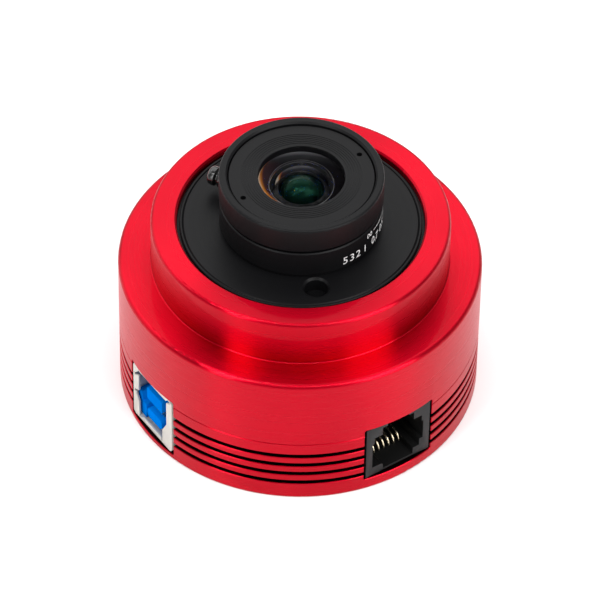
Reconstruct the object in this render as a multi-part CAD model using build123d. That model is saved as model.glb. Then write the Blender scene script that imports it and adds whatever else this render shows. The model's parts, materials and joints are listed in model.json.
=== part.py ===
"""Uncooled astronomy camera with a wide-angle CS-mount lens, as an assembly of separate pieces.

Units are millimetres. +Z is the optical axis, pointing out of the lens, and the origin is the centre of the
flat rear face. The USB port faces -X and the guide port faces -Y. Each piece goes to parts/NAME.step.
"""
from build123d import *
import math
import os

# ---------------------------------------------------------------- driving dimensions
BODY_R = 31.0             # 62 mm body
NOSE_R = 25.4             # 2 inch nose
FRONT_Z = 36.0            # front face of the body
SHOULDER_Z = 27.1         # where the nose stands on the body
SEAM_Z = 13.0             # joint between the two housings
WALL = 2.5
FLOOR = 2.2               # rear housing's floor
WALL_IN_R = BODY_R - WALL
SHOULDER_FILLET = 0.8
NOSE_FILLET = 0.65
REAR_FILLET = 0.4
CORNER_FILLET = 0.2       # inside corner between nose and shoulder
SEAM_CHAMFER = 0.12
EDGE_BREAK = 0.1          # small chamfers on the grooves and the port openings
PORT_CORNER_R = 0.3       # corners of the port openings
PORT_CLEARANCE = 0.2      # behind the ports
SPIGOT_PLAY = 0.05        # radial play of the front housing's spigot in the rear housing
SPIGOT_T = 0.8
SPIGOT_DEPTH = 1.2

GROOVE_Z = [3.79 + 2.125 * i for i in range(4)]   # cooling grooves round the rear housing
GROOVE_W = 0.86
GROOVE_DEPTH = 1.5
REAR_LINE = (22.9, 23.2, 0.2)   # inner and outer radius and depth of the fine ring on the rear face

T2_R = 21.05              # M42 x 0.75 thread in the nose
T2_FLOOR_Z = 31.0
THREAD_CHAMFER = 0.3      # at the start of the M42 and CS threads
SEPTUM_Z = 27.0           # underside of the wall that carries the window
WINDOW_SEAT_Z = 27.8
WINDOW_POCKET_R = 13.0
WINDOW_CLEAR_R = 11.4
WINDOW_Z = (28.5, 30.1)   # the glass, on its O-ring
CHAMBER_R = 22.6          # chamber behind the septum
SHOULDER_UNDER_Z = 24.5

CASE_SCREW_R = 26.0       # radius of the four case screws' circle
CASE_SCREW_ANGLES = (45, 135, 225, 315)
CASE_BOSS_R = 2.8
CASE_SCREW_TOP = 20.5
CASE_SCREW_SHANK_R = 1.25
CASE_SCREW_HEAD_R = 2.45
CASE_SCREW_TAPPED_R = 1.3
CASE_SCREW_HOLE_R = 1.45
CASE_SCREW_SINK = (2.65, 1.2)    # countersink's radius at the rear face, and its depth
HEX_SOCKET_R = 0.87
STANDOFF_CIRCLE_R = 19.0
STANDOFF_ANGLES = (90, 210, 330)
STANDOFF_R = 2.3          # over the hexagon's corners, and its boss in the housing
STUD_R = 0.95             # M2 threads
STUD_TAPPED_R = 1.0
STUD_HOLE_R = 1.1         # in the boards
BOARD_SCREW_HEAD = (1.9, 1.3)    # radius and height

TRIPOD_HOLE_R = 2.55      # tapping size of 1/4-20 UNC
TRIPOD_DEPTH = 8.4
TRIPOD_CHAMFER = 0.4
HEAT_BOSS_R = 8.5
HEAT_BOSS_Z = 11.4

BOARD_T = 1.6
MAIN_BOARD_Z = 14.2
MAIN_BOARD_R = 27.3
SENSOR_BOARD_Z = 21.0
SENSOR_BOARD_R = 22.0
SENSOR_PLANE_Z = 23.5     # 12.5 mm behind the lens flange

USB_FACE = 30.35          # distance of the USB face from the axis
USB_SHIFT = 0.3           # the port's middle stands this far to the right of the axis, seen from outside
USB_HALF_W = 5.95
USB_Z = (1.35, 13.7)
USB_DEPTH = 18.0
USB_SKIN = 0.35
USB_SHELL_R = 0.9         # outer corners of the shell
USB_CUT_HALF_W = 6.3
USB_CUT_Z = (1.0, 13.9)
USB_CAVITY_DEPTH = 8.8
USB_TONGUE = (2.35, 7.6, 10.35)      # half width and heights of the upper tongue
USB_LOW_TONGUE = (2.25, 3.3, 5.5)    # the same of the lower one
USB_LINER_STEP_Z = 4.9    # the side liners are wider below this height
USB_LINER_TOP_Z = 7.0

JACK_FACE = 30.2
JACK_SHIFT = -0.25        # the guide port's middle, seen from outside
JACK_HALF_W = 6.5
JACK_Z = (2.55, 14.15)
JACK_DEPTH = 13.8
JACK_CUT_HALF_W = 6.85
JACK_CUT_Z = (2.3, 14.35)
JACK_CAVITY_DEPTH = 12.0
JACK_STEPS = ((5.2, 4.35, 10.1), (4.85, 10.1, 11.45), (3.2, 11.45, 13.1),
              (2.2, 13.1, 13.65))    # half width and heights of each step of the cavity
JACK_CHANNEL = (-2.95, 3.2, 3.0)     # contact channel: its two sides and its floor
JACK_LIP_R = 0.6          # rounded corner between the cavity and the channel, on the left
JACK_RAIL = (4.5, 5.9)    # rail on the right: its inner side and its top
JACK_PEG = (5.7, 0.8, 7.0, 8.6)      # board pegs: place, half width and the depths they span
CONTACT_PITCH = 1.03
CONTACT_W = 0.42

ADAPTER_TOP_Z = 35.4
ADAPTER_R = 20.5
ADAPTER_BASE_Z = 31.4
SPANNER_HOLE_CIRCLE_R = 16.0
SPANNER_HOLE_R = 2.0
SPANNER_HOLE_DEPTH = 2.6
SPANNER_HOLE_CHAMFER = 0.35
SPANNER_HOLE_ANGLE = -115.0    # measured from +X
ADAPTER_LINE = (19.78, 20.12, 0.18)   # inner and outer radius and depth of the V-shaped line near its edge
CS_R = 12.7                    # 1 inch - 32 thread
CS_SEAT_R = 13.25              # raised seat round the CS thread

FLANGE_Z = 36.0           # lens flange
BARREL_R = 13.8
BARREL_TOP_Z = 41.05
NECK_R = 10.6
NECK_TOP_Z = 43.8
CIRCLIP_GROOVE_Z = (43.3, 43.65)
CIRCLIP_GROOVE_DEPTH = 0.45
HELICOID_R = 8.6
RING_R = 13.9
RING_Z = (41.65, 46.4)
RING_WEB_TOP_Z = 43.25
RING_RECESS_R = 12.45
DISC_R = 12.3
DISC_Z = (45.1, 45.85)
DISC_BORE_R = 7.3
DISC_PIN_HOLE_CIRCLE_R = 11.1
DISC_PIN_HOLE_ANGLE = -5.4     # measured from +X
DISC_PIN_HOLE_R = 0.48
DISC_LINES = [7.95 + 0.42 * i for i in range(6)]   # radii of the anti-glare grooves
DRIVE_PIN_CIRCLE_R = 11.85
DRIVE_PIN_ANGLES = (20, 140, 260)
DRIVE_PIN_R = 0.39
DRIVE_PIN_Z = (42.1, 44.9)
CELL_FLANGE_Z = 43.9
CELL_BASE_Z = 31.0

FRONT_GLASS_R = 8.0
FRONT_GLASS_Z = (42.6, 44.58)    # flat rim's back and front
DOME_R = 7.24
DOME_SPHERE_R = 16.3
HOLLOW_R = 5.0
HOLLOW_SPHERE_R = 6.4
SECOND_GLASS_R = 5.25
SECOND_GLASS_Z = (39.6, 42.0)    # of its edge
SECOND_DOME_R = 4.15
SECOND_DOME_SPHERE_R = 4.6
SECOND_HOLLOW_R = 3.6
SECOND_HOLLOW_SPHERE_R = 4.5
STOP_Z = (38.6, 38.8)
STOP_BORE_R = 1.0
REAR_GLASS_R = 5.55
REAR_GLASS_Z = (33.5, 37.0)
RUNNING = 0.05            # radial clearance of the fits that turn or slide

LOCK_Z = 38.5
LOCK_ANGLE = 118.0        # direction of the lock screw, measured from +X
LOCK_SHANK_R = 0.95
LOCK_HEAD_R = 1.68
LOCK_PAD = (8.62, 9.6)    # distances of the nylon tip's ends from the lens axis


# ---------------------------------------------------------------- helpers
def turned(*outline):
    """Solid of revolution about Z from an outline of (radius, z) corners."""
    return revolve(Plane.XZ * make_face(Polyline(*outline, close=True)), Axis.Z)


def tube(outer, inner, z0, z1):
    """Plain ring between two heights, or a disc where inner is 0."""
    return turned((inner, z0), (outer, z0), (outer, z1), (inner, z1))


def rod(radius, z0, z1, x=0.0, y=0.0):
    """Upright cylinder at x, y."""
    return Pos(x, y, z0) * Cylinder(radius, z1 - z0, align=(Align.CENTER, Align.CENTER, Align.MIN))


def block(x0, x1, y0, y1, z0, z1):
    """Box between two corners."""
    return Pos(x0, y0, z0) * Box(x1 - x0, y1 - y0, z1 - z0, align=Align.MIN)


def at_angle(radius, degrees):
    """(x, y) on a circle, the angle measured from +X."""
    return radius * math.cos(math.radians(degrees)), radius * math.sin(math.radians(degrees))


def circles(shape, radius, z):
    """The circular edges of one radius about the axis at one height."""
    def wanted(edge):
        centre = edge.arc_center
        return (abs(edge.radius - radius) < 1e-3 and abs(centre.Z - z) < 1e-3
                and math.hypot(centre.X, centre.Y) < 1e-3)
    return [edge for edge in shape.edges().filter_by(GeomType.CIRCLE) if wanted(edge)]


def usb(u0, u1, z0, z1, back, front):
    """Box in the USB port's own frame: u to the right seen from outside, distances measured from the axis."""
    return block(-front, -back, -u1 - USB_SHIFT, -u0 - USB_SHIFT, z0, z1)


def jack(u0, u1, z0, z1, depth0, depth1):
    """Box in the guide port's own frame: u to the right seen from outside, depths measured from the face."""
    return block(u0 + JACK_SHIFT, u1 + JACK_SHIFT, -JACK_FACE + depth0, -JACK_FACE + depth1, z0, z1)


def standoff_places():
    return [at_angle(STANDOFF_CIRCLE_R, angle) for angle in STANDOFF_ANGLES]


def case_screw_places():
    return [at_angle(CASE_SCREW_R, angle) for angle in CASE_SCREW_ANGLES]


def drive_pin_places():
    return [at_angle(DRIVE_PIN_CIRCLE_R, angle) for angle in DRIVE_PIN_ANGLES]


def port_boxes(spread=0.0):
    """The two boxes that the ports need through the wall, widened on request."""
    outside = BODY_R + 2
    usb_box = usb(-USB_CUT_HALF_W - spread, USB_CUT_HALF_W + spread, USB_CUT_Z[0] - spread,
                  USB_CUT_Z[1] + spread, USB_FACE - USB_DEPTH - PORT_CLEARANCE, outside)
    jack_box = jack(-JACK_CUT_HALF_W - spread, JACK_CUT_HALF_W + spread, JACK_CUT_Z[0] - spread,
                    JACK_CUT_Z[1] + spread, JACK_FACE - outside, JACK_DEPTH + PORT_CLEARANCE)
    return usb_box, jack_box


def open_ports(shell):
    """Cuts the two port openings through a housing's wall and breaks their outer edges."""
    usb_box, jack_box = port_boxes()
    shell -= fillet(usb_box.edges().filter_by(Axis.X), PORT_CORNER_R)
    shell -= fillet(jack_box.edges().filter_by(Axis.Y), PORT_CORNER_R)
    zones = port_boxes(0.01)

    def on_mouth(edge):
        points = [edge @ share for share in (0, 0.5, 1)]
        on_wall = all(abs(math.hypot(point.X, point.Y) - BODY_R) < 1e-3 for point in points)
        return on_wall and any(zone.is_inside(points[1]) for zone in zones)

    return chamfer([edge for edge in shell.edges() if on_mouth(edge)], EDGE_BREAK)


def groove(z):
    """Ring that is cut out of the wall for one cooling groove, wider at its mouth."""
    half, mouth = GROOVE_W / 2, GROOVE_W / 2 + EDGE_BREAK
    return turned((BODY_R - GROOVE_DEPTH, z - half), (BODY_R - EDGE_BREAK, z - half), (BODY_R, z - mouth),
                  (BODY_R + 1, z - mouth), (BODY_R + 1, z + mouth), (BODY_R, z + mouth),
                  (BODY_R - EDGE_BREAK, z + half), (BODY_R - GROOVE_DEPTH, z + half))


# ---------------------------------------------------------------- housings
def front_housing():
    """Upper shell: body wall, shoulder, 2 inch nose with its M42 thread, and the wall that holds the window."""
    spigot_r = WALL_IN_R - SPIGOT_PLAY
    spigot_in_r = spigot_r - SPIGOT_T
    spigot_z = SEAM_Z - SPIGOT_DEPTH
    shell = turned(
        (BODY_R, SEAM_Z), (BODY_R, SHOULDER_Z), (NOSE_R, SHOULDER_Z), (NOSE_R, FRONT_Z),
        (T2_R + THREAD_CHAMFER, FRONT_Z), (T2_R, FRONT_Z - THREAD_CHAMFER), (T2_R, T2_FLOOR_Z),
        (WINDOW_POCKET_R, T2_FLOOR_Z), (WINDOW_POCKET_R, WINDOW_SEAT_Z), (WINDOW_CLEAR_R, WINDOW_SEAT_Z),
        (WINDOW_CLEAR_R, SEPTUM_Z),
        (CHAMBER_R, SEPTUM_Z), (CHAMBER_R, SHOULDER_UNDER_Z), (WALL_IN_R, SHOULDER_UNDER_Z),
        (WALL_IN_R, SEAM_Z + 1.0), (spigot_in_r, SEAM_Z + 0.2), (spigot_in_r, spigot_z), (spigot_r, spigot_z),
        (spigot_r, SEAM_Z))
    shell = fillet(circles(shell, BODY_R, SHOULDER_Z), SHOULDER_FILLET)
    shell = fillet(circles(shell, NOSE_R, FRONT_Z), NOSE_FILLET)
    shell = fillet(circles(shell, NOSE_R, SHOULDER_Z), CORNER_FILLET)
    shell = open_ports(chamfer(circles(shell, BODY_R, SEAM_Z), SEAM_CHAMFER))
    for x, y in case_screw_places():
        shell += rod(CASE_BOSS_R, SEAM_Z, SHOULDER_UNDER_Z, x, y)
        shell -= rod(CASE_BOSS_R + 0.1, spigot_z, SEAM_Z, x, y)
        shell -= rod(CASE_SCREW_TAPPED_R, SEAM_Z, CASE_SCREW_TOP + 0.5, x, y)
    for x, y in standoff_places():
        shell += rod(STANDOFF_R, SENSOR_BOARD_Z + BOARD_T, SEPTUM_Z, x, y)
        shell -= rod(STUD_TAPPED_R, SENSOR_BOARD_Z + BOARD_T, SEPTUM_Z - 0.8, x, y)
    return shell


def rear_housing():
    """Lower shell: floor with the tripod thread, grooved wall, screw bosses and the pad's seat."""
    shell = turned((0, 0), (BODY_R, 0), (BODY_R, SEAM_Z), (WALL_IN_R, SEAM_Z), (WALL_IN_R, FLOOR), (0, FLOOR))
    shell = fillet(circles(shell, BODY_R, 0), REAR_FILLET)
    shell = open_ports(chamfer(circles(shell, BODY_R, SEAM_Z), SEAM_CHAMFER))
    for z in GROOVE_Z:
        shell -= groove(z)
    shell += rod(HEAT_BOSS_R, FLOOR, HEAT_BOSS_Z)
    sink_r, sink_z = CASE_SCREW_SINK
    for x, y in case_screw_places():
        shell += rod(CASE_BOSS_R, FLOOR, SEAM_Z, x, y)
        shell -= rod(CASE_SCREW_HOLE_R, 0, SEAM_Z, x, y)
        shell -= Pos(x, y, 0) * turned((0, 0), (sink_r, 0), (CASE_SCREW_HOLE_R, sink_z), (0, sink_z))
    mouth = TRIPOD_HOLE_R + TRIPOD_CHAMFER
    shell -= turned((0, 0), (mouth, 0), (TRIPOD_HOLE_R, TRIPOD_CHAMFER), (TRIPOD_HOLE_R, TRIPOD_DEPTH),
                    (0, TRIPOD_DEPTH))
    line_in, line_out, line_depth = REAR_LINE
    return shell - tube(line_out, line_in, 0, line_depth)


def case_screws():
    """Four countersunk screws with hex sockets that hold the two housings together."""
    face_z = 0.15
    neck_z = face_z + CASE_SCREW_HEAD_R - CASE_SCREW_SHANK_R
    screw = turned((0, face_z), (CASE_SCREW_HEAD_R, face_z), (CASE_SCREW_SHANK_R, neck_z),
                   (CASE_SCREW_SHANK_R, CASE_SCREW_TOP), (0, CASE_SCREW_TOP))
    screw -= extrude(RegularPolygon(HEX_SOCKET_R, 6), 1.1)
    return [Pos(x, y, 0) * screw for x, y in case_screw_places()]


# ---------------------------------------------------------------- electronics
def main_board():
    """Round board that carries both ports on its underside."""
    board = rod(MAIN_BOARD_R, MAIN_BOARD_Z, MAIN_BOARD_Z + BOARD_T)
    for x, y in case_screw_places():
        board -= rod(CASE_BOSS_R + 0.3, MAIN_BOARD_Z, MAIN_BOARD_Z + BOARD_T, x, y)
    for x, y in standoff_places():
        board -= rod(STUD_HOLE_R, MAIN_BOARD_Z, MAIN_BOARD_Z + BOARD_T, x, y)
    return board


def sensor_board():
    """Smaller round board behind the window."""
    board = rod(SENSOR_BOARD_R, SENSOR_BOARD_Z, SENSOR_BOARD_Z + BOARD_T)
    for x, y in standoff_places():
        board -= rod(STUD_HOLE_R, SENSOR_BOARD_Z, SENSOR_BOARD_Z + BOARD_T, x, y)
    return board


def board_standoffs():
    """Hex standoffs: a stud through the sensor board into the housing, and a tapped end for the main board."""
    bottom = MAIN_BOARD_Z + BOARD_T
    piece = Pos(0, 0, bottom) * extrude(RegularPolygon(STANDOFF_R, 6), SENSOR_BOARD_Z - bottom)
    piece += rod(STUD_R, SENSOR_BOARD_Z, SEPTUM_Z - 1.2)
    piece -= rod(STUD_TAPPED_R + 0.05, bottom, bottom + 4)
    return [Pos(x, y, 0) * piece for x, y in standoff_places()]


def board_screws():
    """Pan-head screws that hold the main board to the standoffs."""
    head_r, head_h = BOARD_SCREW_HEAD
    head_z = MAIN_BOARD_Z - head_h
    screw = fillet(circles(rod(head_r, head_z, MAIN_BOARD_Z), head_r, head_z), 0.5)
    screw += rod(STUD_TAPPED_R, MAIN_BOARD_Z, MAIN_BOARD_Z + BOARD_T + 3.5)
    for half_x, half_y in ((1.0, 0.225), (0.225, 1.0)):
        screw -= block(-half_x, half_x, -half_y, half_y, head_z, head_z + 0.7)
    return [Pos(x, y, 0) * screw for x, y in standoff_places()]


def chip(width, depth, height, x, y, z, above=True):
    """Moulded package centred at x, y, standing on z or hanging from it, with a bevelled outer face."""
    base = z if above else z - height
    body = block(x - width / 2, x + width / 2, y - depth / 2, y + depth / 2, base, base + height)
    face = body.faces().sort_by(Axis.Z)[-1 if above else 0]
    return chamfer(face.edges(), min(0.15, height / 4))


def passives():
    """Small capacitors in two rows on top of the main board."""
    top = MAIN_BOARD_Z + BOARD_T
    places = [(-9 + 2.6 * i, 17.2) for i in range(3)] + [(6.5 + 2.6 * i, -7.5) for i in range(3)]
    return [block(x - 0.8, x + 0.8, y - 0.5, y + 0.5, top, top + 0.9) for x, y in places]


def inductors():
    """Two shielded coils of the power supply."""
    top = MAIN_BOARD_Z + BOARD_T
    made = []
    for x, y in ((17.0, 3.5), (17.0, -1.5)):
        coil = block(x - 2, x + 2, y - 2, y + 2, top, top + 1.8)
        made.append(chamfer(coil.edges().filter_by(Axis.Z), 0.5))
    return made


def board_connector(x, z0, z1, width):
    """One half of a mezzanine connector: a bar with a slot along it."""
    bar = block(x - width / 2, x + width / 2, -9, 9, z0, z1)
    return bar - block(x - 0.5, x + 0.5, -8, 8, z0, z0 + 0.6)


def sensor_package():
    """Ceramic package with a recess for the sensor chip."""
    z = SENSOR_BOARD_Z + BOARD_T
    body = block(-6, 6, -5.5, 5.5, z, SENSOR_PLANE_Z + 0.4)
    return body - block(-4.4, 4.4, -3.9, 3.9, z + 0.5, SENSOR_PLANE_Z + 0.4)


def sensor_chip():
    return block(-3.6, 3.6, -2.9, 2.9, SENSOR_BOARD_Z + BOARD_T + 0.5, SENSOR_PLANE_Z)


def sensor_cover_glass():
    return block(-5.4, 5.4, -4.9, 4.9, SENSOR_PLANE_Z + 0.4, SENSOR_PLANE_Z + 0.9)


def thermal_pad():
    """Soft pad that takes the processor's heat to the rear housing."""
    return block(-5.5, 5.5, -5.5, 5.5, HEAT_BOSS_Z, MAIN_BOARD_Z - 1.6)


# ---------------------------------------------------------------- USB 3 type B port
def usb_front_tab(*corners):
    """Flat steel tab in the plane of the USB port's face, from (u, z) corners."""
    face = Plane(origin=(-USB_FACE + USB_SKIN, -USB_SHIFT, 0), x_dir=(0, -1, 0), z_dir=(-1, 0, 0))
    return extrude(face * make_face(Polyline(*corners, close=True)), USB_SKIN)


def usb_shell():
    """Folded steel shell with its front tabs round the opening."""
    low, high = USB_Z
    back = USB_FACE - USB_DEPTH
    inner_w = USB_HALF_W - USB_SKIN
    edge = USB_HALF_W
    outside = usb(-USB_HALF_W, USB_HALF_W, low, high, back, USB_FACE)
    outside = fillet(outside.edges().filter_by(Axis.X), USB_SHELL_R)
    inside = usb(-inner_w, inner_w, low + USB_SKIN, high - USB_SKIN, back + USB_SKIN, USB_FACE + 1)
    shell = outside - fillet(inside.edges().filter_by(Axis.X), USB_SHELL_R - USB_SKIN)
    tabs = [
        ((4.3, 7.0), (4.3, 12.3), (edge, 13.2), (edge, 1.6), (3.0, 1.6), (3.0, 4.6)),
        ((-edge, 7.1), (-4.3, 8.0), (-4.3, 11.5), (-edge, 10.6)),
        ((-edge, 1.4), (-4.25, 1.4), (-4.25, 5.1), (-5.1, 6.6), (-5.1, 7.05), (-edge, 6.7)),
        ((-edge, 11.0), (-4.8, 12.1), (-4.4, 12.7), (4.1, 12.7), (4.9, 13.6), (-edge, 13.6)),
        ((-3.6, 1.5), (2.6, 1.5), (2.6, 2.25), (-3.1, 2.25)),
    ]
    for corners in tabs:
        shell += usb_front_tab(*corners) & outside
    for distance in (back + 3.0, back + 10.0):
        for u in (-USB_HALF_W, USB_HALF_W - USB_SKIN):
            shell += usb(u, u + USB_SKIN, high - 1.5, MAIN_BOARD_Z, distance, distance + 1.8)
    return shell


def usb_insulator():
    """Blue moulding: rear block, side liners and the two contact tongues."""
    back = USB_FACE - USB_DEPTH + USB_SKIN + 0.05
    step = USB_FACE - USB_CAVITY_DEPTH
    inner_w = USB_HALF_W - USB_SKIN - 0.05
    low = USB_Z[0] + USB_SKIN + 0.05
    high = USB_Z[1] - USB_SKIN - 0.05
    front = USB_FACE - 0.75
    fitting = usb(-inner_w, inner_w, low, high, back, front)
    fitting = fillet(fitting.edges().filter_by(Axis.X), USB_SHELL_R - USB_SKIN - 0.05)
    body = usb(-inner_w, inner_w, low, high, back, step)
    for side in (-1, 1):
        edges = sorted((side * 3.1, side * inner_w))
        body += usb(edges[0], edges[1], low, USB_LINER_STEP_Z, step, front)
        edges = sorted((side * 4.4, side * inner_w))
        body += usb(edges[0], edges[1], USB_LINER_STEP_Z, USB_LINER_TOP_Z, step, front)
    body &= fitting
    for (half_w, tongue_low, tongue_high), corner_r in ((USB_TONGUE, 0.3), (USB_LOW_TONGUE, 0.85)):
        tongue = usb(-half_w, half_w, tongue_low, tongue_high, step, USB_FACE - 0.4)
        body += fillet(tongue.edges().filter_by(Axis.X), corner_r)
    return body


def usb_contacts():
    """Four contacts on the upper tongue and five on the lower one."""
    step, thick = USB_FACE - USB_CAVITY_DEPTH, 0.15
    low, high = USB_TONGUE[1:]
    made = []
    for u in (-1.25, 1.25):
        made.append(usb(u - 0.5, u + 0.5, high, high + thick, step, USB_FACE - 1.6))
        made.append(usb(u - 0.5, u + 0.5, low - thick, low, step, USB_FACE - 1.2))
    for i in range(5):
        u, top = (i - 2) * 0.64, USB_LOW_TONGUE[2]
        made.append(usb(u - 0.2, u + 0.2, top, top + thick, step, USB_FACE - 1.4))
    return made


# ---------------------------------------------------------------- guide port
def jack_housing():
    """Moulded 6P6C jack: a stepped cavity with the latch notch above and the contact channel below."""
    low, high = JACK_Z
    body = jack(-JACK_HALF_W, JACK_HALF_W, low, high, 0, JACK_DEPTH)
    for half_w, step_low, step_high in JACK_STEPS:
        body -= jack(-half_w, half_w, step_low, step_high, -1, JACK_CAVITY_DEPTH)
    cavity_w, cavity_low = JACK_STEPS[0][:2]
    left, right, floor = JACK_CHANNEL
    body -= jack(left, right, floor, cavity_low, -1, JACK_CAVITY_DEPTH)
    lips = [edge for edge in body.edges().filter_by(Axis.Y)
            if abs(edge.center().X - left - JACK_SHIFT) < 1e-3 and abs(edge.center().Z - cavity_low) < 1e-3]
    body = fillet(lips, JACK_LIP_R)
    rail_in, rail_top = JACK_RAIL
    body += jack(rail_in, cavity_w, cavity_low, rail_top, 0, JACK_CAVITY_DEPTH)
    peg, half_w, peg_front, peg_back = JACK_PEG
    for side in (-1, 1):
        body += jack(side * peg - half_w, side * peg + half_w, high, MAIN_BOARD_Z, peg_front, peg_back)
    return body


def jack_contacts():
    """Six spring wires: steep at the mouth of the channel, then rising gently to the back of the jack."""
    thick, floor = 0.34, JACK_CHANNEL[2] + 0.05
    wire = make_face(Polyline(
        (3.75, floor), (4.4, 4.3), (6.0, 4.85), (JACK_CAVITY_DEPTH, 5.65), (JACK_CAVITY_DEPTH, 5.65 + thick),
        (5.9, 4.85 + thick), (4.15, 4.3 + thick), (3.4, floor), close=True))
    made = []
    for i in range(6):
        u = (i - 2.5) * CONTACT_PITCH
        plane = Plane(origin=(u - CONTACT_W / 2, -JACK_FACE, 0), x_dir=(0, 1, 0), z_dir=(1, 0, 0))
        made.append(extrude(plane * wire, amount=CONTACT_W))
    return made


# ---------------------------------------------------------------- window and lens adapter
def window_oring():
    section = Plane.XZ * Pos(12.2, WINDOW_SEAT_Z + 0.35) * Circle(0.34)
    return revolve(section, Axis.Z)


def protective_window():
    return tube(WINDOW_POCKET_R - 0.1, 0, *WINDOW_Z)


def window_retaining_ring():
    """Threaded ring with two spanner slots that clamps the window."""
    ring = tube(WINDOW_POCKET_R - 0.05, WINDOW_CLEAR_R + 0.2, WINDOW_Z[1], T2_FLOOR_Z)
    return ring - block(-WINDOW_POCKET_R, WINDOW_POCKET_R, -0.6, 0.6, WINDOW_Z[1] + 0.4, T2_FLOOR_Z + 1)


def lens_mount_adapter():
    """Flat black ring: M42 thread outside, CS thread inside, and two holes for a pin spanner."""
    edge = 0.12
    line_in, line_out, line_depth = ADAPTER_LINE
    plate = turned(
        (CS_R, ADAPTER_BASE_Z), (T2_R - 0.1, ADAPTER_BASE_Z), (T2_R - 0.1, 34.7), (ADAPTER_R, 34.7),
        (ADAPTER_R, ADAPTER_TOP_Z - edge), (ADAPTER_R - edge, ADAPTER_TOP_Z), (line_out, ADAPTER_TOP_Z),
        ((line_in + line_out) / 2, ADAPTER_TOP_Z - line_depth), (line_in, ADAPTER_TOP_Z),
        (CS_SEAT_R, ADAPTER_TOP_Z), (CS_SEAT_R, FLANGE_Z), (CS_R + THREAD_CHAMFER, FLANGE_Z),
        (CS_R, FLANGE_Z - THREAD_CHAMFER))
    bottom, chamfer_z = ADAPTER_TOP_Z - SPANNER_HOLE_DEPTH, ADAPTER_TOP_Z - SPANNER_HOLE_CHAMFER
    mouth = SPANNER_HOLE_R + SPANNER_HOLE_CHAMFER
    hole = turned((0, bottom), (SPANNER_HOLE_R, bottom), (SPANNER_HOLE_R, chamfer_z), (mouth, ADAPTER_TOP_Z),
                  (0, ADAPTER_TOP_Z))
    for turn in (0, 180):
        x, y = at_angle(SPANNER_HOLE_CIRCLE_R, SPANNER_HOLE_ANGLE + turn)
        plate -= Pos(x, y, 0) * hole
    return plate


# ---------------------------------------------------------------- lens
def lock_frame():
    """Plane whose Z runs outwards along the lock screw, from the lens axis."""
    x, y = at_angle(1, LOCK_ANGLE)
    return Plane(origin=(0, 0, LOCK_Z), x_dir=(0, 0, 1), z_dir=(x, y, 0))


def lens_barrel():
    """Fixed barrel: CS thread, outer sleeve, focusing thread inside and the neck that the ring turns on."""
    thrust_z = RING_Z[0] - RUNNING
    groove_low, groove_high = CIRCLIP_GROOVE_Z
    groove_r = NECK_R - CIRCLIP_GROOVE_DEPTH
    base_z = FLANGE_Z - 4.0
    barrel = turned(
        (HELICOID_R, base_z), (CS_R - 0.35, base_z), (CS_R - 0.05, base_z + THREAD_CHAMFER),
        (CS_R - 0.05, FLANGE_Z), (BARREL_R - 0.3, FLANGE_Z), (BARREL_R, FLANGE_Z + 0.3),
        (BARREL_R, BARREL_TOP_Z - 0.18), (BARREL_R - 0.18, BARREL_TOP_Z), (12.0, BARREL_TOP_Z),
        (12.0, thrust_z), (NECK_R, thrust_z),
        (NECK_R, groove_low), (groove_r, groove_low), (groove_r, groove_high), (NECK_R, groove_high),
        (NECK_R, NECK_TOP_Z), (HELICOID_R, NECK_TOP_Z))
    return barrel - lock_frame() * rod(LOCK_SHANK_R + RUNNING, 7, 15)


def focus_ring():
    """Smooth grip ring that turns on the barrel's neck, rounded at its front edge."""
    low, high = RING_Z
    ring = turned(
        (NECK_R + RUNNING, low), (RING_R - 0.15, low), (RING_R, low + 0.15), (RING_R, high), (12.75, high),
        (RING_RECESS_R, high - 0.3), (RING_RECESS_R, RING_WEB_TOP_Z), (NECK_R + RUNNING, RING_WEB_TOP_Z))
    ring = fillet(circles(ring, RING_R, high), 0.4)
    for x, y in drive_pin_places():
        ring -= rod(DRIVE_PIN_R + 0.01, DRIVE_PIN_Z[0], RING_WEB_TOP_Z, x, y)
    return ring


def drive_pins():
    """Three pins in the ring's web that turn the optics cell and let it slide."""
    return [rod(DRIVE_PIN_R, *DRIVE_PIN_Z, x, y) for x, y in drive_pin_places()]


def focus_ring_circlip():
    """Open retaining ring in the neck's groove that keeps the focus ring down."""
    low, high = CIRCLIP_GROOVE_Z
    ring = tube(NECK_R + 0.7, NECK_R - 0.4, low + 0.03, high - 0.03)
    return ring - block(0, RING_R, -1.3, 1.3, low, high)


def optics_cell():
    """Threaded tube that carries all the glass, with a flange that the drive pins turn."""
    outer_r = HELICOID_R - RUNNING
    front_r, second_r, rear_r = FRONT_GLASS_R + 0.05, SECOND_GLASS_R + 0.05, REAR_GLASS_R + 0.05
    seat_z, septum_r, septum_z = FRONT_GLASS_Z[0], 2.0, REAR_GLASS_Z[1] + 0.4
    cell = turned(
        (rear_r, CELL_BASE_Z), (outer_r, CELL_BASE_Z), (outer_r, CELL_FLANGE_Z), (DISC_R, CELL_FLANGE_Z),
        (DISC_R, DISC_Z[0]), (front_r, DISC_Z[0]), (front_r, seat_z), (second_r, seat_z),
        (second_r, STOP_Z[0]), (septum_r, STOP_Z[0]), (septum_r, septum_z), (rear_r, septum_z))
    notch = block(DRIVE_PIN_CIRCLE_R - 0.45, DISC_R + 1, -0.45, 0.45, CELL_FLANGE_Z - 1, DISC_Z[0])
    for angle in DRIVE_PIN_ANGLES:
        cell -= Rot(0, 0, angle) * notch
    return cell


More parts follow.
